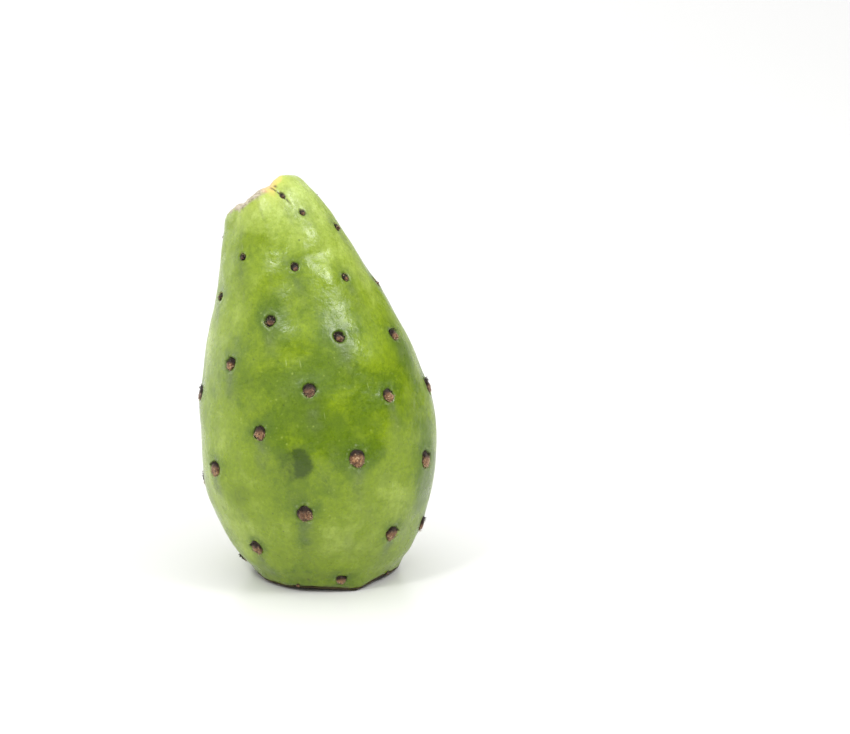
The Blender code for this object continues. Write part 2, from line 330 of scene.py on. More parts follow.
def spinProfile(made, points, steps, tags=None):
    # Turns a profile of (radius, height) about Z. Tags are kept on the vertices in a layer of that name.
    layers = {name: made.verts.layers.float.new(name) for name in (tags or {})}
    line = [made.verts.new((radius, 0.0, height)) for radius, height in points]
    for name, values in (tags or {}).items():
        for vert, value in zip(line, values):
            vert[layers[name]] = value
    edges = [made.edges.new(pair) for pair in zip(line, line[1:])]
    spinRound(made, line + edges, steps)
    return layers


def spinRound(made, geometry, steps):
    middle, axis = (0, 0, 0), (0, 0, 1)
    bmesh.ops.spin(made, geom=geometry, axis=axis, cent=middle, angle=math.tau, steps=steps, use_merge=True)
    bmesh.ops.remove_doubles(made, verts=made.verts, dist=mergeDistance)


def noiseAt(points, size, seed):  # smooth noise from -1 to 1 with features about size mm across
    shift = Vector([seed * step for step in noiseShift])
    return np.array([noise.noise(Vector(point) / size + shift) for point in points])


def layeredNoise(points, layers, seed):  # layers of (size, height)
    return sum(height * noiseAt(points, size, seed + i) for i, (size, height) in enumerate(layers))


def hump(value, width):  # 1 in the middle, fading out softly
    return np.exp(-((value / width) ** 2))


def turnOf(upright):  # how far round from the front, in radians
    return np.arctan2(upright[:, 0], -upright[:, 1])


def layLeaning(made, upright):  # moves the vertices to these places of the upright form, leant over
    for vert, place in zip(made.verts, leanOver(upright)):
        vert.co = place


def newMaterial(name):
    material = bpy.data.materials.new(name)
    material.use_nodes = True
    return material.node_tree, material.node_tree.nodes["Principled BSDF"], material


def put(tree, kind, inputs=None, **settings):  # adds a node; an input is a value, or a socket to link
    node = tree.nodes.new("ShaderNode" + kind)
    for setting, value in settings.items():
        setattr(node, setting, value)
    for socket, value in (inputs or {}).items():
        if isinstance(value, bpy.types.NodeSocket):
            tree.links.new(value, node.inputs[socket])
        else:
            node.inputs[socket].default_value = value
    return node


def calc(tree, operation, first, second=0.0, clamp=False):
    return put(tree, "Math", {0: first, 1: second}, operation=operation, use_clamp=clamp).outputs[0]


def times(tree, first, second):
    return calc(tree, "MULTIPLY", first, second)


def plus(tree, first, second):
    return calc(tree, "ADD", first, second)


def minus(tree, first, second):
    return calc(tree, "SUBTRACT", first, second)


def fade(tree, value, low, high, outLow=0.0, outHigh=1.0):
    sockets = {"Value": value, "From Min": low, "From Max": high, "To Min": outLow, "To Max": outHigh}
    return put(tree, "MapRange", sockets, interpolation_type="SMOOTHSTEP").outputs["Result"]


def blend(tree, amount, first, second, how="MIX"):
    first, second = [(*c, 1.0) if isinstance(c, tuple) and len(c) == 3 else c for c in (first, second)]
    mix = put(tree, "Mix", {0: amount, 6: first, 7: second}, data_type="RGBA", blend_type=how)
    return mix.outputs[2]


def tagged(tree, name, output="Fac"):
    return put(tree, "Attribute", attribute_name=name).outputs[output]


def grain(tree, place, size, detail=2.0, roughness=0.5, distortion=0.0):  # noise with features of size mm
    sockets = {"Detail": detail, "Roughness": roughness, "Distortion": distortion}
    return put(tree, "TexNoise", {"Vector": place, "Scale": 1.0 / (size * mm), **sockets}).outputs["Fac"]


def cells(tree, place, size):
    # Cells about size mm wide: the distance from their middles, and three random numbers for each.
    node = put(tree, "TexVoronoi", {"Vector": place, "Scale": 1.0 / (size * mm)})
    return node.outputs["Distance"], put(tree, "SeparateColor", {"Color": node.outputs["Color"]}).outputs


def stretch(tree, place, scale, rotation=(0.0, 0.0, 0.0), location=(0.0, 0.0, 0.0)):
    turned = tuple(math.radians(angle) for angle in rotation)
    sockets = {"Scale": scale, "Rotation": turned, "Location": location}
    return put(tree, "Mapping", {"Vector": place, **sockets}).outputs[0]


def shifted(tree, place, location):  # the same pattern from another spot
    return stretch(tree, place, (1.0, 1.0, 1.0), location=location)


def bumped(tree, shader, height):  # height in mm
    bump = put(tree, "Bump", {"Height": height, "Strength": 1.0, "Distance": mm})
    tree.links.new(bump.outputs["Normal"], shader.inputs["Normal"])


# Skin

skinSettings = {
    "turnSteps": 232,
    "rowLength": 0.64,
    "poleRadius": 2.0,  # inside it the skin stays closed and flat
    "straightRadius": 20.0,  # of the even tube on which runs and scratches are laid out
    "fineLength": 0.3,  # edges near an areole longer than this are split
    "fineReach": (2.1, 1.6),  # how far out, in pit widths, for the first split and the second
    "lumps": ((13.0, 0.22), (6.0, 0.16), (2.6, 0.03)),  # (size, height) of the waves in the skin
    "neckLumps": ((5.0, 0.30), (2.4, 0.11)),
    # Single low bumps and dips: (azimuth, distance walked, half-width, half-height, height)
    "bumps": (
        (-2.0, 12.6, 3.2, 3.0, 0.5), (27.0, 18.0, 2.0, 2.0, 0.22), (40.0, 19.8, 1.9, 2.0, 0.32),
        (34.0, 22.8, 3.2, 1.1, -0.22), (37.0, 26.2, 2.2, 1.8, 0.24), (34.0, 28.0, 2.2, 2.2, 0.22),
        (14.0, 18.5, 1.8, 2.6, -0.22), (-38.0, 15.0, 2.4, 2.4, 0.15), (60.0, 30.0, 2.4, 3.0, 0.20),
        (-28.0, 31.0, 3.0, 3.0, 0.20), (2.0, 38.0, 3.2, 2.4, 0.22), (44.0, 45.0, 3.6, 3.0, 0.25),
        (10.0, 45.0, 2.4, 2.4, -0.25), (-24.0, 50.0, 3.0, 2.4, 0.18), (-8.0, 76.5, 3.0, 2.0, 0.15),
        (40.0, 72.0, 4.0, 3.5, 0.25), (60.0, 49.0, 2.6, 3.2, -0.25), (93.0, 10.6, 5.0, 2.2, -0.5),
        (-85.0, 63.0, 6.0, 7.0, -0.35),
    ),
    "lumpsBelowLip": (0.0, 2.5),  # where the waves start and are full
    "lumpsAboveRim": (0.5, 5.0),
    "neckReach": (26.0, 8.0),  # how far below the lip the neck's own end, and are full
    # Soft folds that run down from the lip, small ones at the rim, and waves of the lip: depth, size, and
    # where they are from the lip or the rim
    "foldLength": 40.0,
    "flutes": (0.3, 0.45, (-2.0, 1.0, 1.0, 14.0)),
    "puckers": (0.22, 0.16, (-7.0, -2.5, -1.5, 3.0)),
    "lipWaves": (0.25, 0.5, (-2.5, 0.0, 0.0, 2.5)),
    # Bruises: (azimuth, distance walked, strength, softness of the edge, corners to the right and up)
    "bruises": (
        (-5.3, 62.4, 0.95, 0.9, (
            (-1.5, 3.3), (0.6, 3.1), (2.0, 1.4), (2.6, -1.2), (0.2, -3.4), (-1.5, -2.9), (-1.8, 1.1),
        )),
        (-8.5, 62.8, 0.5, 1.0, (
            (-3.4, 2.2), (-1.0, 3.8), (1.0, 3.0), (1.0, -3.0), (-1.5, -4.0), (-3.2, -2.0),
        )),
        (-7.0, 69.0, 0.22, 1.6, ((-3.0, 3.0), (2.0, 3.0), (2.5, -2.5), (-2.5, -3.0))),
        (-37.5, 69.6, 0.4, 1.0, (
            (-2.4, 1.2), (-0.2, 2.4), (2.0, 1.4), (1.8, -1.2), (-0.6, -2.6), (-2.3, -3.2), (-2.8, -1.6),
        )),
        (152.0, 48.0, 0.6, 0.7, ((-1.5, 1.9), (1.2, 2.2), (2.2, 0.1), (1.0, -2.4), (-1.8, -1.2))),
        (104.0, 71.0, 0.4, 0.7, ((-1.2, 1.0), (0.9, 1.7), (1.9, -0.3), (0.2, -1.6))),
    ),
    # Paler and deeper patches: (azimuth, distance walked, half-width, half-height, how much paler). Some
    # are painted light: shade down the right flank and highlight on the neck's right, marked below
    "patches": (
        (-12.0, 29.5, 2.6, 2.2, -0.8), (10.0, 45.5, 2.2, 2.6, -0.9), (-6.0, 47.5, 1.8, 2.4, -0.8),
        # (70, 48.5) is painted shade down the right flank
        (70.0, 48.5, 3.5, 6.5, -1.5), (12.0, 56.0, 4.5, 3.2, -0.4), (32.0, 62.0, 2.5, 3.0, -0.5),
        (12.0, 60.5, 2.2, 2.2, -0.7), (-40.0, 56.0, 2.5, 2.5, -0.5), (-10.0, 80.5, 1.4, 4.0, -0.6),
        (48.0, 86.0, 2.0, 3.0, -0.5), (-40.0, 22.0, 2.0, 3.5, -0.4), (54.0, 52.0, 2.2, 2.5, -0.6),
        # (68, 68.5) is painted shade down the right flank; (26, 18) and (44, 22.5) here and (34, 27.5)
        # below are painted highlight on the neck's right
        (68.0, 68.5, 4.0, 10.0, -1.2), (26.0, 18.0, 2.5, 3.0, 0.8), (44.0, 22.5, 2.2, 3.0, 0.7),
        (34.0, 27.5, 2.4, 2.5, 0.6), (44.0, 45.5, 4.0, 3.0, 0.4), (-6.0, 41.5, 3.5, 2.0, 0.7),
        (-38.0, 30.0, 3.5, 3.0, 0.6), (-52.0, 58.0, 3.5, 5.0, 0.7), (-22.0, 51.0, 4.0, 2.5, 0.5),
        (16.0, 51.0, 2.5, 2.0, 0.5), (42.0, 71.5, 4.5, 3.5, 0.7), (-8.0, 76.5, 8.0, 2.2, 0.6),
        (14.0, 81.0, 3.5, 2.0, 0.5), (0.0, 91.5, 12.0, 2.6, -0.7), (60.0, 10.0, 12.0, 5.0, 1.7),
        (-52.0, 79.5, 4.0, 4.0, 0.6), (0.5, 51.0, 4.0, 4.0, -0.9), (-18.0, 55.0, 4.0, 4.0, -0.9),
        (-12.0, 34.0, 3.0, 2.2, -0.9), (25.0, 39.5, 3.2, 4.0, -0.7), (20.0, 63.0, 4.0, 2.6, -0.9),
        (10.0, 67.0, 4.5, 5.0, -0.5), (38.0, 53.0, 3.2, 2.6, -0.5), (2.0, 46.0, 18.0, 19.0, -0.8),
        (16.0, 14.0, 7.0, 4.0, 0.8), (66.0, 19.0, 6.0, 6.5, 2.0), (66.0, 27.0, 5.0, 5.0, 0.8),
        (-61.0, 72.0, 4.0, 6.0, 1.0), (-74.0, 35.0, 4.0, 7.0, 0.9), (60.0, 70.0, 4.5, 9.0, -0.9),
        (-20.0, 12.5, 5.0, 2.5, 1.0), (-6.0, 77.5, 1.6, 3.5, -1.4), (3.0, 57.5, 3.4, 3.0, -0.8),
        (30.0, 80.0, 12.0, 6.0, 0.45), (-30.0, 82.0, 8.0, 5.0, 0.3), (42.0, 40.0, 6.0, 4.0, -0.3),
        (-24.0, 25.0, 4.0, 4.0, 0.5), (8.0, 25.0, 3.0, 3.0, -0.5), (-14.0, 33.0, 3.5, 2.5, -0.5),
        (-19.0, 53.0, 3.5, 5.0, -0.4), (1.0, 46.0, 3.0, 3.0, -0.3), (24.0, 62.5, 3.0, 2.0, -0.3),
        (40.0, 60.0, 3.0, 3.0, 0.4), (33.0, 50.0, 7.0, 5.0, -0.7), (4.0, 59.0, 2.5, 2.0, -0.4),
        (70.0, 31.0, 3.0, 4.0, 1.0), (-52.0, 66.0, 3.0, 4.0, 0.4), (10.0, 88.0, 6.0, 2.0, -0.4),
    ),
    # The crack beside the stem scar: (azimuth, distance from the lip) from end to end
    "crack": ((23.5, 1.8), (26.3, 3.0), (30.3, 4.7)),
    "crackEdge": (0.176, 0.066),  # how far to the side it ends, and is full
    "crackDepth": 0.3,
    "bruiseDepth": 0.06,
    "dotEdge": (1.25, 0.7),  # how far from its middle a dot ends, and is full, in its half-widths
    "dotStrength": 0.85,
    # Brown dots: (azimuth, distance from the lip, half-width)
    "dots": (
        (26.3, 3.0, 0.46), (27.5, 1.3, 0.28), (21.5, 1.0, 0.34), (-28.0, 1.6, 0.25), (-8.0, 83.0, 0.22),
        (140.0, 1.4, 0.4), (-150.0, 2.0, 0.35),
    ),
    # Dry tissue on the lip: how far down it reaches at azimuths round it
    "dryEdge": (
        (-180.0, 0.3), (-120.0, 0.6), (-70.0, 0.9), (-50.0, 1.5), (-20.0, 1.6), (5.0, 1.3), (20.0, 1.2),
        (33.0, -0.1), (80.0, -1.4), (140.0, -0.8), (180.0, 0.3),
    ),
    # Yellow skin beside the scar: how strong it is at azimuths round it
    "lipYellow": (
        (-180.0, 0.35), (-60.0, 0.25), (-15.0, 0.3), (5.0, 0.6), (18.0, 0.95), (40.0, 1.05), (62.0, 0.7),
        (90.0, 0.45), (140.0, 0.4), (180.0, 0.35),
    ),
    # What surrounds an areole: names with At count from its middle in half-widths of its pit
    "pit": {
        "reach": (6.0, 16.0),  # nothing lies further away than this, across and along
        "uneven": ((1.2, 0.20), (0.5, 0.08)),  # (size, share) of the waves in its outline
        "seedStep": 7.1,  # how far apart the waves of one and the next lie
        "edgeAt": (0.80, 0.98),  # where its near-black colour, the pit's dark skin with painted shade in the gap round the felt, starts to fade and ends
        "wallAt": (0.62, 1.06),  # and its wall
        "depth": 0.55,
        "lipAt": (1.42, 0.3),  # place and width of the low lip round it
        "lip": 0.05,
        "fullSize": 1.3,  # a smaller one is shallower
        "browAt": 1.5,  # middle of the shallow dip above it
        "browWidth": 1.6,
        "brow": 0.20,
        "haloAt": (0.5, 0.7),  # middle and reach of the deeper green round it and above it, painted shade under the brow over the pit
        "haloShape": 1.3,  # how much wider than tall it is
        "haloFade": 1.5,
        "haloFullSize": 1.2,
        "ringAt": 1.22,  # the broken pale ring: pale flecks on the pit's rim, and painted highlight where the rim catches the light
        "ringWidth": 0.22,
        "streak": (0.3, 2.4, 2.5, 11.0),  # how far below the greyish streak starts, is full, fades and ends
        "streakWidth": (1.15, 0.05),  # at the top, and how much more with each mm
        "streakDip": 0.05,
    },
    # The dry tissue on the lip, and the dry rim, whose dark band is also painted contact shade
    "dry": {
        "ragged": ((1.0, 0.5), (2.8, 0.7)),  # (size, height) of the waves in its edge
        "soft": 0.25,
        "thick": 0.12,
        "lumpSize": 0.8,
        "yellowReach": 5.0,  # how far below it the skin is yellow
        "rimFrom": (-2.2, -1.2),  # where the rim's dark band, dry brown skin and painted contact shade, starts and is full, and (size, height) of its waves
        "rimRagged": (1.6, 0.8),
    },
    "greens": {
        "mid": (0.200, 0.290, 0.005),
        "light": (0.312, 0.412, 0.048),
        "pale": (0.45, 0.56, 0.125),
        "deep": (0.108, 0.180, 0.002),
        "grey": (0.165, 0.225, 0.036),
        "mottling": ((0.76, 0.80, 0.60), (1.16, 1.14, 1.5)),  # multiplies the green
        "clouds": (10.0, 2.6),  # (size, strength)
        "blotches": (3.2, 2.0),
        "steps": (1.25, 2.6),  # how much paler than mid the light one is, and the pale one
    },
    # What lies over the green, in this order: colour, and how strongly it covers what is under it
    "covers": {
        "streak": ((0.125, 0.170, 0.050), 0.75),
        # painted shade above each areole, under the brow over its pit
        "halo": ((0.075, 0.135, 0.006), 0.85),
        "paleSpecks": ((0.36, 0.46, 0.09), 0.5),
        "darkSpecks": ((0.05, 0.08, 0.01), 0.6),
        "scratches": ((0.40, 0.50, 0.16), 0.6),
        "bruise": ((0.036, 0.070, 0.001), 0.92),
        # pale flecks on each pit's rim, and painted highlight on it
        "ring": ((0.38, 0.44, 0.24), 0.4),
        "lipYellow": ((0.47, 0.54, 0.09), 0.8),
        "lipAmber": ((0.66, 0.50, 0.13), 0.8),
        # dark brown band along the rim: dry skin, and painted contact shade at the table
        "dryRimAndShade": ((0.09, 0.055, 0.028), 0.9),
        "spot": ((0.035, 0.018, 0.008), 1.0),
        # near-black in the pit: its dark brown skin, with painted shade in the gap round the felt
        "pit": ((0.022, 0.013, 0.007), 1.0),
    },
    "tissue": {
        "dark": (0.27, 0.22, 0.15),
        "pale": (0.56, 0.50, 0.38),
        "scab": (0.17, 0.125, 0.075),
        "warm": (0.80, 0.50, 0.22),
    },
    "shine": {
        "IOR": 1.46,
        "Subsurface Weight": 0.10,
        "Subsurface Radius": (0.7, 1.0, 0.25),
        "Subsurface Scale": 1.2 * mm,
    },
    "relief": {
        "peel": 0.032,
        "waves": 0.19,
        "fibre": 0.25,
        "scratches": 0.012,
    },
}


def rowsAlong(length):
    found = [0.0]
    for start, end in zip(walkedAlong, walkedAlong[1:]):
        found += list(np.linspace(start, end, math.ceil((end - start) / length) + 1)[1:])
    return np.array(found)


def skinPlaces(made, layer):  # azimuth and distance walked of each vertex of the upright mesh
    azimuth = np.array([math.degrees(math.atan2(vert.co.x, -vert.co.y)) for vert in made.verts])
    walked = np.array([vert[layer] for vert in made.verts])
    return azimuth, walked


def nearestAreole(azimuth, walked, radius):
    nearest = np.full_like(walked, farAway)
    for spot in spots:
        across, up = offsetsFrom(azimuth, walked, radius, spot["azimuth"], spot["walked"])
        nearest = np.minimum(nearest, np.hypot(across, up / areoleSpiral["tallness"]) / spot["half"])
    return nearest


def refineSkin(made, layer):  # splits the long edges near each areole
    for reach in skinSettings["fineReach"]:
        azimuth, walked = skinPlaces(made, layer)
        near = nearestAreole(azimuth, walked, outlineAt(walked)[0]) < reach
        made.verts.index_update()
        long = [
            edge for edge in made.edges
            if near[edge.verts[0].index] and near[edge.verts[1].index]
            and edge.calc_length() > skinSettings["fineLength"]
        ]
        bmesh.ops.subdivide_edges(made, edges=long, cuts=1, use_grid_fill=True)


def insidePolygon(across, up, corners, soft):  # 1 inside, 0 outside, for corners listed clockwise
    inside = np.full_like(across, farAway)
    for (x0, y0), (x1, y1) in zip(corners, corners[1:] + corners[:1]):
        length = math.hypot(x1 - x0, y1 - y0)
        inside = np.minimum(inside, ((y1 - y0) * (across - x0) - (x1 - x0) * (up - y0)) / length)
    return ease(-soft, soft, inside)


def distanceToLine(azimuth, walked, radius, line):
    nearest = np.full_like(walked, farAway)
    for (azimuthA, downA), (azimuthB, downB) in zip(line, line[1:]):
        acrossA, upA = offsetsFrom(azimuth, walked, radius, azimuthA, lipWalked + downA)
        acrossB, upB = offsetsFrom(azimuth, walked, radius, azimuthB, lipWalked + downB)
        stepX, stepY = acrossA - acrossB, upA - upB
        along = np.clip((acrossA * stepX + upA * stepY) / np.maximum(stepX**2 + stepY**2, 1e-9), 0.0, 1.0)
        nearest = np.minimum(nearest, np.hypot(acrossA - along * stepX, upA - along * stepY))
    return nearest


def areoleMarks(spot, across, up):
    # How strong each mark round one areole is, and how far the skin stands out.
    s, half = skinSettings["pit"], spot["half"]
    size = min(half / s["fullSize"], 1.0)
    away = np.hypot(across, up / areoleSpiral["tallness"]) / half
    around = np.column_stack((across, up, np.full_like(up, spot["number"] * s["seedStep"])))
    away = away * (1 + layeredNoise(around, s["uneven"], 1))
    haloUp, haloReach = s["haloAt"]
    fromHalo = np.hypot(across / s["haloShape"], up - haloUp * half)
    halo = hump(np.maximum(fromHalo - haloReach * half, 0.0), s["haloFade"])
    streakWidth, widening = s["streakWidth"]
    run = hump(across, streakWidth + widening * np.maximum(-up, 0.0)) * within(s["streak"], -up)
    lipPlace, lipWidth = s["lipAt"]
    lift = s["lip"] * hump(away - lipPlace, lipWidth) - s["depth"] * size * (1 - ease(*s["wallAt"], away))
    fromBrow = np.hypot(across, up - s["browAt"] * half)
    lift -= s["brow"] * size * hump(fromBrow, s["browWidth"] * math.sqrt(2)) + s["streakDip"] * run
    return {
        "pit": 1 - ease(*s["edgeAt"], away),
        "halo": halo * min(half / s["haloFullSize"], 1.0),
        "ring": hump((away - s["ringAt"]) * half, s["ringWidth"]),
        "streak": run * size,
    }, lift


def placedHumps(azimuth, walked, radius, humps):  # the sum of soft humps listed as bumps and patches are
    total = np.zeros_like(walked)
    for centreAzimuth, centreWalked, wide, tall, height in humps:
        across, up = offsetsFrom(azimuth, walked, radius, centreAzimuth, centreWalked)
        total += height * hump(across, wide) * hump(up, tall)
    return total


def skinMarks(azimuth, walked, radius, upright):
    # What lies where on the skin, from 0 to 1, and how far it stands out because of it.
    s, dry = skinSettings, skinSettings["dry"]
    marks = {name: np.zeros_like(walked) for name in ("pit", "halo", "ring", "streak", "bruise")}
    lift = placedHumps(azimuth, walked, radius, s["bumps"])
    marks["toneWithPaintedLight"] = placedHumps(azimuth, walked, radius, s["patches"])
    reachAcross, reachAlong = s["pit"]["reach"]
    for spot in spots:
        across, up = offsetsFrom(azimuth, walked, radius, spot["azimuth"], spot["walked"])
        close = (np.abs(across) < reachAcross) & (np.abs(up) < reachAlong)
        found, lifted = areoleMarks(spot, across[close], up[close])
        lift[close] += lifted
        for name, strength in found.items():
            marks[name][close] = np.maximum(marks[name][close], strength)
    for centreAzimuth, centreWalked, strength, soft, corners in s["bruises"]:
        across, up = offsetsFrom(azimuth, walked, radius, centreAzimuth, centreWalked)
        marks["bruise"] = np.maximum(marks["bruise"], strength * insidePolygon(across, up, corners, soft))
    marks["spot"] = ease(*s["crackEdge"], distanceToLine(azimuth, walked, radius, s["crack"]))
    lift -= s["bruiseDepth"] * marks["bruise"] + s["crackDepth"] * marks["spot"]
    for dotAzimuth, down, half in s["dots"]:
        across, up = offsetsFrom(azimuth, walked, radius, dotAzimuth, lipWalked + down)
        dot = s["dotStrength"] * ease(*s["dotEdge"], np.hypot(across, up) / half)
        marks["spot"] = np.maximum(marks["spot"], dot)
    edge, yellow = (np.interp(azimuth, *np.array(s[name]).T) for name in ("dryEdge", "lipYellow"))
    below = walked - (lipWalked + edge + layeredNoise(upright, dry["ragged"], 3))
    marks["dry"] = ease(dry["soft"], -dry["soft"], below)
    marks["lipGlow"] = yellow * ease(dry["yellowReach"], 0.0, below)
    size, ragged = dry["rimRagged"]
    # the dark band along the rim: dry skin, and painted contact shade
    marks["dryRimAndShade"] = ease(*dry["rimFrom"], walked - rimWalked + ragged * noiseAt(upright, size, 5))
    lift += dry["thick"] * marks["dry"] * (0.5 + noiseAt(upright, dry["lumpSize"], 6))
    return marks, lift


def skinLift(azimuth, walked, upright):  # the skin's own waves and folds
    s = skinSettings
    fromLip, fromRim = walked - lipWalked, walked - rimWalked
    neck = layeredNoise(upright, s["neckLumps"], 21) * ease(*s["neckReach"], fromLip)
    lift = layeredNoise(upright, s["lumps"], 11) + neck
    lift *= ease(*s["lumpsBelowLip"], fromLip) * ease(*s["lumpsAboveRim"], -fromRim)
    turn = np.radians(azimuth)
    ring = np.column_stack((np.cos(turn), np.sin(turn), walked / s["foldLength"]))
    folds = (("flutes", fromLip), ("puckers", fromRim), ("lipWaves", fromLip))
    for i, (name, away) in enumerate(folds):
        depth, size, reach = s[name]
        lift += depth * noiseAt(ring, size, 31 + i) * within(reach, away)
    return lift


def greenGround(tree, place, along):  # clouds of paler and deeper green, with the listed patches
    greens = skinSettings["greens"]
    (cloudSize, cloudy), (blotchSize, blotchy) = greens["clouds"], greens["blotches"]
    clouds = times(tree, minus(tree, grain(tree, place, cloudSize, 3.0, 0.55, 0.4), 0.5), cloudy)
    blotches = times(tree, minus(tree, grain(tree, place, blotchSize, 4.0, 0.6, 0.6), 0.5), blotchy)
    # the placed patches carry painted shade on the right flank and painted highlight on the neck's right
    toneWithPaintedLight = plus(tree, plus(tree, clouds, blotches), tagged(tree, "toneWithPaintedLight"))
    one, two = greens["steps"]
    colour = blend(tree, fade(tree, toneWithPaintedLight, 0.0, one), greens["mid"], greens["light"])
    colour = blend(tree, fade(tree, toneWithPaintedLight, one, two), colour, greens["pale"])
    colour = blend(tree, fade(tree, toneWithPaintedLight, 0.0, -one), colour, greens["deep"])
    runs = grain(tree, stretch(tree, along, (1.0, 1.0, 0.4)), 3.6, 3.0, 0.6)
    return blend(tree, fade(tree, runs, 0.52, 0.76, 0.0, 0.4), colour, greens["grey"])


def greenMottling(tree, place, colour):
    mottle = fade(tree, grain(tree, place, 0.8, 5.0, 0.85), 0.32, 0.68)
    return blend(tree, 1.0, colour, blend(tree, mottle, *skinSettings["greens"]["mottling"]), "MULTIPLY")


def speckMarks(tree, place):  # pale specks in clusters, and a few dark ones
    gathered = fade(tree, grain(tree, place, 7.0, 2.0), 0.4, 0.62, 0.15, 1.0)
    away, chance = cells(tree, place, 1.05)
    pale = times(tree, fade(tree, away, 0.26, 0.12), fade(tree, chance[0], 0.5, 0.95))
    pale = times(tree, pale, gathered)
    away, chance = cells(tree, shifted(tree, place, (0.2, 0.1, 0.3)), 2.6)
    return pale, times(tree, fade(tree, away, 0.11, 0.05), fade(tree, chance[1], 0.6, 0.9))


def scratchMarks(tree, along):  # short pale scratches, a few to the square centimetre
    found = None
    for turn, length in ((12.0, 0.10), (-35.0, 0.14), (78.0, 0.16)):
        turned = {"rotation": (0.0, turn, turn * 2.0), "location": (turn, 0.0, 0.3)}
        away, chance = cells(tree, stretch(tree, along, (1.0, 1.0, length), **turned), 0.9)
        marks = times(tree, fade(tree, away, 0.16, 0.05), fade(tree, chance[0], 0.86, 0.95))
        found = marks if found is None else calc(tree, "MAXIMUM", found, marks)
    return times(tree, found, fade(tree, grain(tree, along, 9.0), 0.42, 0.62))


def bruiseMarks(tree, place):
    ragged = times(tree, minus(tree, grain(tree, place, 0.8, 5.0, 0.8), 0.5), 1.9)
    bruise = fade(tree, plus(tree, tagged(tree, "bruise"), ragged), 0.15, 0.9)
    return times(tree, bruise, fade(tree, tagged(tree, "bruise"), 0.0, 0.25))


def dryTissue(tree, place, fibre):
    tissue = skinSettings["tissue"]
    colour = blend(tree, fade(tree, fibre, 0.30, 0.62), tissue["dark"], tissue["pale"])
    scabs = fade(tree, grain(tree, place, 1.9, 3.0, 0.6), 0.53, 0.66, 0.0, 0.7)
    colour = blend(tree, scabs, colour, tissue["scab"])
    return blend(tree, fade(tree, tagged(tree, "lipGlow"), 0.55, 0.95, 0.0, 0.85), colour, tissue["warm"])


def paintSkin():
    tree, shader, material = newMaterial("waxy_green_skin")
    place = put(tree, "TexCoord").outputs["Object"]
    along = tagged(tree, "skinPlace", "Vector")
    fibre = grain(tree, place, 0.5, 4.0, 0.7)
    patchy = fade(tree, grain(tree, place, 2.2, 3.0, 0.6), 0.3, 0.62, 0.3, 1.0)
    broken = fade(tree, grain(tree, place, 0.9, 3.0, 0.7), 0.50, 0.66)
    paleSpecks, darkSpecks = speckMarks(tree, place)
    scratches = scratchMarks(tree, along)
    cloudy = fade(tree, grain(tree, place, 3.0), 0.25, 0.6, 0.6, 1.0)

    def cover(colour, masks):
        for name, mask in masks.items():
            over, strength = skinSettings["covers"][name]
            colour = blend(tree, times(tree, mask, strength), colour, over)
        return colour

    colour = cover(greenGround(tree, place, along), {
        "streak": times(tree, tagged(tree, "streak"), patchy),
        # painted shade above each areole
        "halo": times(tree, tagged(tree, "halo"), patchy),
    })
    colour = cover(greenMottling(tree, place, colour), {
        "paleSpecks": paleSpecks,
        "darkSpecks": darkSpecks,
        "scratches": scratches,
        "bruise": bruiseMarks(tree, place),
        "ring": times(tree, tagged(tree, "ring"), broken),
        "lipYellow": times(tree, tagged(tree, "lipGlow"), cloudy),
        "lipAmber": fade(tree, tagged(tree, "lipGlow"), 0.72, 0.98),
    })
    colour = blend(tree, tagged(tree, "dry"), colour, dryTissue(tree, place, fibre))
    # the dark rim band with painted contact shade, the brown dots and crack, and the pit's near-black with
    # painted shade round the felt
    colour = cover(colour, {name: tagged(tree, name) for name in ("dryRimAndShade", "spot", "pit")})
    tree.links.new(colour, shader.inputs["Base Color"])

    dull = calc(tree, "MAXIMUM", tagged(tree, "pit"), tagged(tree, "dryRimAndShade"))
    dull = times(tree, calc(tree, "MAXIMUM", tagged(tree, "dry"), dull), 0.45)
    bloom = fade(tree, grain(tree, place, 4.0, 3.0, 0.6), 0.35, 0.7, 0.24, 0.36)
    tree.links.new(calc(tree, "ADD", bloom, dull, clamp=True), shader.inputs["Roughness"])
    for socket, value in skinSettings["shine"].items():
        shader.inputs[socket].default_value = value

    relief = skinSettings["relief"]
    height = times(tree, grain(tree, place, 0.6, 3.0, 0.7), relief["peel"])
    height = plus(tree, height, times(tree, grain(tree, place, 2.6, 3.0, 0.55), relief["waves"]))
    height = plus(tree, height, times(tree, times(tree, fibre, relief["fibre"]), tagged(tree, "dry")))
    bumped(tree, shader, minus(tree, height, times(tree, scratches, relief["scratches"])))
    return material


def makeSkin():
    s = skinSettings
    made = bmesh.new()
    rows = rowsAlong(s["rowLength"])
    layer = spinProfile(made, np.column_stack(outlineAt(rows)), s["turnSteps"], {"walked": rows})["walked"]
    refineSkin(made, layer)
    azimuth, walked = skinPlaces(made, layer)
    radius = outlineAt(walked)[0]
    upright = uprightPoints(azimuth, walked)
    marks, lift = skinMarks(azimuth, walked, radius, upright)
    lift += skinLift(azimuth, walked, upright)
    lift *= ease(0.0, s["poleRadius"], radius)
    layLeaning(made, uprightPoints(azimuth, walked, lift))
    piece = finishPiece("fruit_skin", made, paintSkin())
    for name, values in marks.items():
        mark = piece.data.attributes.new(name, "FLOAT", "POINT")
        mark.data.foreach_set("value", values.astype(np.float32))
    turn = np.radians(azimuth)
    ringRadius = s["straightRadius"]
    around = np.column_stack((ringRadius * np.sin(turn), -ringRadius * np.cos(turn), -walked)) * mm
    straightened = piece.data.attributes.new("skinPlace", "FLOAT_VECTOR", "POINT")
    straightened.data.foreach_set("vector", around.astype(np.float32).ravel())
    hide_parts("prickly_pear_fruit")


# Areoles: a plug of felt in each pit, with bristle stubs round it

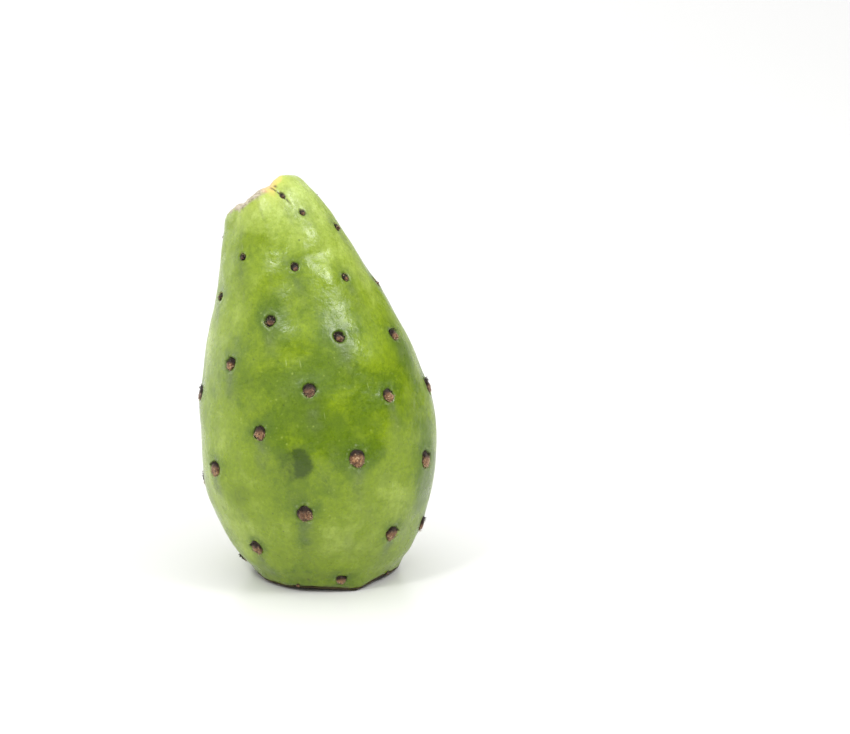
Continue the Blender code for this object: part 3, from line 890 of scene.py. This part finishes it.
feltSettings = {
    "thickness": 0.75,
    "fullSize": 1.2,  # smaller pads are thinner
    "width": 0.98,  # share of the pit that a full pad covers
    "sunk": 0.75,  # share of its thickness by which its middle is sunk
    "proud": 0.15,  # how far the felt stands out of the skin
    "tip": 0.22,  # how much further out its lower edge is than its middle
    "drop": 0.35,  # how low in its pit a small plug sits
    "wool": ((0.70, 0.24), (0.34, 0.20), (0.17, 0.09)),  # (size, height) of its tufts
    "spill": (1.1, 0.40),  # size and height of its uneven outline
    "seedStep": 3.7,  # how far apart the tufts of one pad and the next lie
    "colours": {
        "darkPad": ((0.030, 0.014, 0.009), (0.22, 0.100, 0.058)),  # in the wool's dips, and on it
        "palePad": ((0.090, 0.036, 0.014), (0.39, 0.205, 0.088)),
        "fleck": (0.62, 0.45, 0.26),
        "burnt": (0.055, 0.022, 0.010),
        "upperShade": (0.016, 0.009, 0.006),
        # the pad's dark edge: the felt's own dark outline, darkened more at the top as painted shade
        "edge": (0.026, 0.014, 0.008),
    },
}


def paintFelt():
    tree, shader, material = newMaterial("brown_felt")
    place = put(tree, "TexCoord").outputs["Object"]
    pale, colours = tagged(tree, "padPale"), feltSettings["colours"]
    wool = grain(tree, place, 0.52, 4.0, 0.85)
    darkFelt = blend(tree, fade(tree, wool, 0.42, 0.60), *colours["darkPad"])
    paleFelt = blend(tree, fade(tree, wool, 0.42, 0.58), *colours["palePad"])
    colour = blend(tree, pale, darkFelt, paleFelt)
    flecks = fade(tree, grain(tree, shifted(tree, place, (0.5, 0.2, 0.1)), 0.42, 2.0), 0.56, 0.68)
    flecks = times(tree, flecks, fade(tree, pale, 0.0, 0.8, 0.15, 0.75))
    colour = blend(tree, flecks, colour, colours["fleck"])
    burnt = grain(tree, shifted(tree, place, (0.1, 0.4, 0.3)), 0.7, 3.0, 0.7)
    colour = blend(tree, fade(tree, burnt, 0.54, 0.64, 0.0, 0.8), colour, colours["burnt"])
    roughly = times(tree, minus(tree, wool, 0.5), 3.0)
    shade = minus(tree, plus(tree, tagged(tree, "padUp"), roughly), times(tree, pale, 0.22))
    colour = blend(tree, fade(tree, shade, -0.15, 0.45, 0.0, 0.95), colour, colours["upperShade"])
    edge = plus(tree, tagged(tree, "padEdge"), times(tree, roughly, 0.25))
    # the dark edge is stronger where the shade is, at the top: painted shade over the felt's own dark
    # outline
    edge = times(tree, fade(tree, edge, 0.66, 0.96), fade(tree, shade, -0.7, 0.2, 0.25, 0.9))
    colour = blend(tree, edge, colour, colours["edge"])
    tree.links.new(colour, shader.inputs["Base Color"])
    shader.inputs["Roughness"].default_value = 0.92
    shader.inputs["Sheen Weight"].default_value = 0.15
    bumped(tree, shader, times(tree, grain(tree, place, 0.16, 2.0), 0.11))
    return material


def makeFelt():
    s = feltSettings
    spillSize, spillHeight = s["spill"]
    made = bmesh.new()
    upLayer = made.verts.layers.float.new("padUp")
    edgeLayer = made.verts.layers.float.new("padEdge")
    paleLayer = made.verts.layers.float.new("padPale")
    for spot in spots:
        onSkin = skinFrame(spot["azimuth"], spot["walked"])
        half = spot["half"] * s["width"]
        wide, tall = half * spot["fill"], half * spot["fill"] * areoleSpiral["tallness"]
        drop = half * (1 - spot["fill"]) * s["drop"]
        thick = s["thickness"] * min(half / s["fullSize"], 1.0)
        pad = bmesh.ops.create_icosphere(made, subdivisions=3, radius=1.0)
        for vert in pad["verts"]:
            x, y, z = vert.co
            vert[upLayer] = y
            vert[edgeLayer] = math.hypot(x, y)
            vert[paleLayer] = spot["paleness"]
            seedPlace = Vector((x * wide, y * tall, z + spot["number"] * s["seedStep"]))
            tuft = sum(height * noise.noise(seedPlace / size) for size, height in s["wool"])
            spill = spillHeight * noise.noise(seedPlace / spillSize)
            out = z * thick + s["proud"] - thick * s["sunk"]
            out += tuft * max(z, 0.0) - s["tip"] * y * spot["fill"]
            vert.co = onSkin @ Vector((x * (wide + tuft + spill), y * (tall + tuft + spill) - drop, out))
    finishPiece("areole_felt", made, paintFelt())


bristleSettings = {
    "perHalfWidth": 46 / 1.5,  # how many for each mm of a pit's half-width
    "length": (0.28, 0.62),
    "fullSize": 1.2,  # they are shorter on smaller pits
    "thickness": (0.045, 0.085),
    "tipShare": 0.35,  # how thin the tip is
    "paleShare": 0.30,
    "lying": 0.35,  # the share that lies flat across the pit's edge
    # Felt that fills less of its pit than this is a small plug, and has them all round, the rest only above
    "plugFill": 0.7,
    "spread": (180.0, 75.0),  # how far round from straight up they stand on each
    "paleSpread": 80.0,  # and how far from straight down the pale ones of a full pad do
    "depth": (-0.22, -0.05),  # where they start, on each
    # Shares of the pit: how far inside the felt's edge they start, but never further in than the second
    "innermost": (0.25, 0.45),
    "outermost": 0.97,
    "lean": ((-0.35, 0.35), (-0.45, 0.25), (-0.3, 0.45)),  # to the side, up the skin, and outwards
    "steep": (0.25, 1.0),  # how far they point out of the skin, lying and standing
    "colours": ((0.030, 0.016, 0.010), (0.50, 0.38, 0.22)),
    "seed": 11,
}


def paintBristles():
    tree, shader, material = newMaterial("dark_bristle")
    colour = blend(tree, tagged(tree, "pale"), *bristleSettings["colours"])
    tree.links.new(colour, shader.inputs["Base Color"])
    shader.inputs["Roughness"].default_value = 0.6
    return material


def makeBristles():
    s = bristleSettings
    draw = random.Random(s["seed"])
    made = bmesh.new()
    paleLayer = made.verts.layers.float.new("pale")
    inwards, least = s["innermost"]
    leanSide, leanUp, leanOut = s["lean"]
    for spot in spots:
        onSkin = skinFrame(spot["azimuth"], spot["walked"])
        half, fill = spot["half"], spot["fill"]
        full = int(fill >= s["plugFill"])
        for _ in range(round(s["perHalfWidth"] * half)):
            bearing = math.radians(draw.uniform(-s["spread"][full], s["spread"][full]))
            pale = draw.random() < s["paleShare"]
            if pale and full:
                bearing = math.radians(180.0 + draw.uniform(-s["paleSpread"], s["paleSpread"]))
            across, along = math.sin(bearing), math.cos(bearing)
            away = half * draw.uniform(max(fill - inwards, least), s["outermost"])
            root = Vector((away * across, away * along * areoleSpiral["tallness"], s["depth"][full]))
            long = draw.uniform(*s["length"]) * min(half / s["fullSize"], 1.0)
            thick = draw.uniform(*s["thickness"])
            sideways = Vector((across, along, 0.0)) * draw.uniform(*leanOut)
            steep = s["steep"][draw.random() >= s["lying"]]
            aim = Vector((draw.uniform(*leanSide), draw.uniform(*leanUp), steep)) + sideways
            turned = aim.normalized().to_track_quat("Z", "Y").to_matrix().to_4x4()
            stub = Matrix.Translation(root) @ turned @ Matrix.Translation((0, 0, long / 2))
            cone = bmesh.ops.create_cone(
                made, cap_ends=True, cap_tris=True, segments=3,
                radius1=thick, radius2=thick * s["tipShare"], depth=long, matrix=onSkin @ stub,
            )
            for vert in cone["verts"]:
                vert[paleLayer] = float(pale)
    finishPiece("areole_bristles", made, paintBristles())


# Stem scar: the dry cut face inside the lip

stemScarSettings = {
    "steps": 150,
    "rowLength": 0.3,
    "inside": 0.5,  # how far inside the lip's crest it ends
    "above": 0.22,  # how far above the skin's dish it lies
    "edgeAbove": 0.2,  # the share of that at its edge
    "below": 0.35,  # and its back below that
    "lumps": (1.6, 0.22),  # (size, height)
    "fineLumps": (0.6, 0.10),
    "rings": (3.1, 0.10),  # (how close, height)
    "edgeWaves": (1.2, 0.03),  # (size, share)
    # Amber stain by its edge: azimuth of its middle, where round that it ends and is full, and how far out
    # it starts and is full
    "amber": (62.0, (70.0, 20.0), (4.5, 6.6)),
    "strandRing": 4.4,  # radius of the ring of dark strands
    "colours": {
        "fibre": ((0.38, 0.30, 0.21), (0.68, 0.60, 0.46)),
        "broad": (0.54, 0.47, 0.38),
        "middle": (0.25, 0.16, 0.09),
        "strands": (0.16, 0.085, 0.045),
        "amber": (0.80, 0.50, 0.12),
    },
}


def paintStemScar():
    tree, shader, material = newMaterial("dry_stem_scar")
    place = put(tree, "TexCoord").outputs["Object"]
    out, colours = tagged(tree, "fromMiddle"), stemScarSettings["colours"]
    fibre = grain(tree, place, 0.55, 4.0, 0.7)
    broad = grain(tree, place, 2.8, 2.0)
    colour = blend(tree, fade(tree, fibre, 0.32, 0.68), *colours["fibre"])
    colour = blend(tree, fade(tree, broad, 0.45, 0.7, 0.0, 0.6), colour, colours["broad"])
    colour = blend(tree, fade(tree, out, 3.4, 1.4, 0.0, 0.6), colour, colours["middle"])
    ring = calc(tree, "ABSOLUTE", minus(tree, out, stemScarSettings["strandRing"]))
    strands = fade(tree, cells(tree, place, 1.1)[0], 0.28, 0.14)
    strands = times(tree, strands, fade(tree, ring, 1.0, 0.3))
    colour = blend(tree, times(tree, strands, 0.75), colour, colours["strands"])
    amber = fade(tree, tagged(tree, "amber"), 0.2, 1.0, 0.0, 0.8)
    tree.links.new(blend(tree, amber, colour, colours["amber"]), shader.inputs["Base Color"])
    shader.inputs["Roughness"].default_value = 0.85
    bumped(tree, shader, plus(tree, times(tree, fibre, 0.16), times(tree, strands, -0.08)))
    return material


def makeStemScar():
    s = stemScarSettings
    edge = lipWalked - s["inside"]
    walks = np.linspace(0.0, edge, math.ceil(edge / s["rowLength"]) + 1)
    radii, heights = outlineAt(walks)
    lifts = s["above"] * (1 - (1 - s["edgeAbove"]) * (walks / edge) ** 6)
    points = list(zip(radii, heights + lifts)) + list(zip(radii[::-1], heights[::-1] - s["below"]))
    made = bmesh.new()
    spinProfile(made, points, s["steps"], {"fromMiddle": list(radii) + list(radii[::-1])})
    amberLayer = made.verts.layers.float.new("amber")
    upright = np.array([vert.co for vert in made.verts])
    away = np.hypot(upright[:, 0], upright[:, 1])
    azimuth = np.degrees(turnOf(upright))
    onTop = upright[:, 2] > smoothBetween(walkedAlong, outlineHeights, np.interp(away, radii, walks))
    (size, height), (fineSize, fineHeight) = s["lumps"], s["fineLumps"]
    close, ringHeight = s["rings"]
    relief = height * noiseAt(upright, size, 41) + fineHeight * noiseAt(upright, fineSize, 43)
    relief += ringHeight * np.sin(away * close + 1.5 * noiseAt(upright, 3.0, 42))
    upright[:, 2] += onTop * relief * ease(0.0, 1.0, away)
    size, share = s["edgeWaves"]
    upright[:, :2] *= (1 + share * noiseAt(upright, size, 44))[:, None]
    stainAzimuth, stainReach, stainOut = s["amber"]
    amber = ease(*stainReach, np.abs(wrapped(azimuth - stainAzimuth))) * ease(*stainOut, away)
    upright[:, 2] += lipRise(azimuth, np.interp(away, radii, walks))
    layLeaning(made, upright)
    for vert, tint in zip(made.verts, amber):
        vert[amberLayer] = tint
    finishPiece("stem_scar", made, paintStemScar())


# Flower scar: the dry bowl under the fruit, and the corky rim round it, whose dark ring also serves as
# painted contact shadow at the table

flowerScarSettings = {
    "steps": 180,
    "rowLength": 0.45,
    "inside": 0.9,  # how far inside the rim it starts
    "below": 0.75,  # how far below the skin's bowl it lies
    "belowFull": 2.5,  # reached this far from its edge
    "above": 0.3,  # and its back above that
    "wrinkles": (0.14, 0.3),  # (size, height), running inwards
    "wrinkleLength": 30.0,
    "wrinkleReach": (1.0, 7.0, 11.0, 13.0),  # where they are from the middle, and all the relief
    "reliefReach": (0.0, 1.0, 11.5, 13.2),
    "rings": (2.2, 0.14),  # (how close, height)
    "lumps": (1.5, 0.12),
    "pit": 0.45,  # depth of the small pit in its middle, and where that ends and is full
    "pitReach": (2.4, 1.0),
    "colours": ((0.13, 0.075, 0.035), (0.42, 0.31, 0.18)),
}
corkSettings = {
    "steps": 260,
    "beforeRim": 1.5,  # where it sits, from the rim's lowest line
    "half": (0.20, 0.16),  # half its width and half its height
    "lowest": 0.02,  # it stays this far above the table
    "outWaves": ((0.35, 0.10), (0.07, 0.10)),  # (size, height)
    "upWaves": (0.3, 0.10),
    "lumps": (0.7, 0.10),
    # It is thicker on the right, partly as painted shadow under the rim there: azimuth, where that ends and
    # is full, and how far out and up it goes
    "thicker": (82.0, (70.0, 15.0), 0.25, 0.15),
    # dark cork, which also serves as painted contact shadow along the table
    "colours": ((0.020, 0.013, 0.007), (0.10, 0.065, 0.030)),
}


def paintFlowerScar(name, dark, pale):
    tree, shader, material = newMaterial(name)
    place = put(tree, "TexCoord").outputs["Object"]
    fibre = grain(tree, place, 0.7, 4.0, 0.7)
    colour = blend(tree, fade(tree, fibre, 0.3, 0.7), dark, pale)
    broad = grain(tree, place, 3.5, 2.0)
    colour = blend(tree, fade(tree, broad, 0.5, 0.75, 0.0, 0.6), colour, dark)
    tree.links.new(colour, shader.inputs["Base Color"])
    shader.inputs["Roughness"].default_value = 0.9
    bumped(tree, shader, times(tree, fibre, 0.2))
    return material


def makeFlowerScar():
    s = flowerScarSettings
    start, end = rimWalked + s["inside"], walkedAlong[-1]
    walks = np.linspace(start, end, math.ceil((end - start) / s["rowLength"]) + 1)
    radii, heights = outlineAt(walks)
    drops = s["below"] * ease(0.0, s["belowFull"], walks - start)
    points = list(zip(radii[::-1], heights[::-1] + s["above"])) + list(zip(radii, heights - drops))
    made = bmesh.new()
    spinProfile(made, points, s["steps"])
    upright = np.array([vert.co for vert in made.verts])
    away = np.hypot(upright[:, 0], upright[:, 1])
    turn = turnOf(upright)
    under = upright[:, 2] < np.interp(away, radii[::-1], heights[::-1])
    ring = np.column_stack((np.cos(turn), np.sin(turn), away / s["wrinkleLength"]))
    (size, height), (close, ringHeight), (lumpSize, lumpHeight) = s["wrinkles"], s["rings"], s["lumps"]
    relief = height * noiseAt(ring, size, 51) * within(s["wrinkleReach"], away)
    relief += ringHeight * np.sin(away * close + noiseAt(upright, 4.0, 52))
    relief += lumpHeight * noiseAt(upright, lumpSize, 53)
    relief *= within(s["reliefReach"], away)
    upright[:, 2] += under * (relief + s["pit"] * ease(*s["pitReach"], away))
    layLeaning(made, upright)
    finishPiece("flower_scar", made, paintFlowerScar("dry_flower_scar", *s["colours"]))


def makeCorkRim():
    s = corkSettings
    made = bmesh.new()
    middle = float(outlineAt(rimWalked - s["beforeRim"])[0])
    ring = bmesh.ops.create_circle(made, cap_ends=False, segments=8, radius=1.0)["verts"]
    for vert in ring:
        vert.co = Vector((middle + vert.co.x * s["half"][0], 0.0, vert.co.y * s["half"][1]))
    spinRound(made, ring + made.edges[:], s["steps"])
    upright = np.array([vert.co for vert in made.verts])
    turn = turnOf(upright)
    circle = np.column_stack((np.cos(turn), np.sin(turn), 0 * turn))
    thickAzimuth, thickReach, thickOut, thickUp = s["thicker"]
    thicker = ease(*thickReach, np.abs(wrapped(np.degrees(turn) - thickAzimuth)))
    edge = uprightPoints(np.degrees(turn), np.full(len(turn), rimWalked - s["beforeRim"]))
    outwards = layeredNoise(circle, s["outWaves"], 61) + thickOut * thicker
    outwards += np.hypot(edge[:, 0], edge[:, 1]) - middle
    (size, height), (lumpSize, lumpHeight) = s["upWaves"], s["lumps"]
    upright[:, :2] *= (1 + outwards / middle)[:, None]
    lumps = height * noiseAt(circle, size, 63) + lumpHeight * noiseAt(upright, lumpSize, 64)
    upright[:, 2] += edge[:, 2] + lumps + thickUp * thicker
    layLeaning(made, upright)
    for vert in made.verts:
        vert.co.z = max(vert.co.z, s["lowest"])
    finishPiece("flower_scar_rim", made, paintFlowerScar("dark_cork_and_contact_shadow", *s["colours"]))


makeSkin()
makeFelt()
makeBristles()
makeStemScar()
makeFlowerScar()
makeCorkRim()


# Table, light and camera

studio = {
    # Brightness of the white tent round the table: its sides, each low and high, and its roof. Lengths are
    # in metres here.
    "tent": {"left": (1.15, 0.65), "right": (0.08, 0.1), "back": (1.3, 0.3), "front": (0.16, 0.62)},
    # The axis that each side is on, and which way
    "tentWays": {"left": ("X", -1), "right": ("X", 1), "back": ("Y", 1), "front": ("Y", -1)},
    "backAside": 0.7,  # how far the back's light is drawn round to the left
    "tentRoof": 1.55,
    "roofFrom": (0.15, 0.95),  # where the roof's light starts and is full
    "sidesHigh": (0.2, 0.5),  # and where the sides go over from low to high
    "tableSize": 8.0,
    "tableTop": -0.00003,
    "tableColour": (0.75, 0.75, 0.74, 1.0),
    # (name, place, aimed at, width, height, power)
    "softboxes": (
        ("box_right", (0.406, -0.216, 0.461), (0.0, 0.0, 0.06), 0.19, 0.20, 1.75),
        ("box_left", (-0.227, -0.350, 0.512), (0.0, 0.0, 0.06), 0.10, 0.10, 1.3),
    ),
    "cameraPlace": (0.02227, -0.56766, 0.19582),
    "cameraTilt": 75.0,
    "lens": 120.0,
    "sensor": 36.0,
    "clip": (0.01, 50.0),
}


def layTable():
    made = bmesh.new()
    bmesh.ops.create_grid(made, x_segments=1, y_segments=1, size=studio["tableSize"] / 2)
    mesh = bpy.data.meshes.new("table_top")
    made.to_mesh(mesh)
    made.free()
    mesh.transform(Matrix.Translation((0.0, 0.0, studio["tableTop"])))
    table = bpy.data.objects.new("table_top", mesh)
    bpy.context.scene.collection.objects.link(table)
    _, shader, material = newMaterial("white_table")
    shader.inputs["Base Color"].default_value = studio["tableColour"]
    shader.inputs["Roughness"].default_value = 0.28
    shader.inputs["IOR"].default_value = 1.4
    mesh.materials.append(material)


def hangLights():
    world = bpy.data.worlds.new("white_tent")
    world.use_nodes = True
    tree = world.node_tree
    way = put(tree, "SeparateXYZ", {"Vector": put(tree, "TexCoord").outputs["Generated"]}).outputs
    roof = fade(tree, way["Z"], *studio["roofFrom"])
    high = fade(tree, way["Z"], *studio["sidesHigh"])
    flat = plus(tree, times(tree, way["X"], way["X"]), times(tree, way["Y"], way["Y"]))
    walls = 0.0
    for side, (axis, sign) in studio["tentWays"].items():
        low, top = studio["tent"][side]
        towards = times(tree, way[axis], sign)
        if side == "back":
            towards = minus(tree, towards, times(tree, way["X"], studio["backAside"]))
        towards = calc(tree, "MAXIMUM", towards, 0.0)
        share = calc(tree, "DIVIDE", times(tree, towards, towards), flat)
        walls = plus(tree, times(tree, share, plus(tree, times(tree, high, top - low), low)), walls)
    light = times(tree, walls, minus(tree, 1.0, roof))
    light = plus(tree, times(tree, roof, studio["tentRoof"]), light)
    tree.nodes["Background"].inputs["Color"].default_value = (1.0, 1.0, 1.0, 1.0)
    tree.links.new(light, tree.nodes["Background"].inputs["Strength"])
    bpy.context.scene.world = world
    for name, place, target, width, height, power in studio["softboxes"]:
        light = bpy.data.lights.new(name, "AREA")
        light.shape = "RECTANGLE"
        light.size, light.size_y, light.energy = width, height, power
        lamp = bpy.data.objects.new(name, light)
        lamp.location = place
        lamp.rotation_euler = (Vector(target) - Vector(place)).to_track_quat("-Z", "Y").to_euler()
        bpy.context.scene.collection.objects.link(lamp)


def setCamera():
    camera = bpy.data.objects.new("camera", bpy.data.cameras.new("camera"))
    camera.data.lens = studio["lens"]
    camera.data.sensor_width = studio["sensor"]
    camera.data.clip_start, camera.data.clip_end = studio["clip"]
    camera.location = studio["cameraPlace"]
    camera.rotation_euler = (math.radians(studio["cameraTilt"]), 0.0, 0.0)
    bpy.context.scene.collection.objects.link(camera)
    bpy.context.scene.camera = camera
    bpy.context.scene.view_settings.view_transform = "Standard"
    bpy.context.scene.view_settings.look = "None"


layTable()
hangLights()
setCamera()
print("table, lights and camera set")
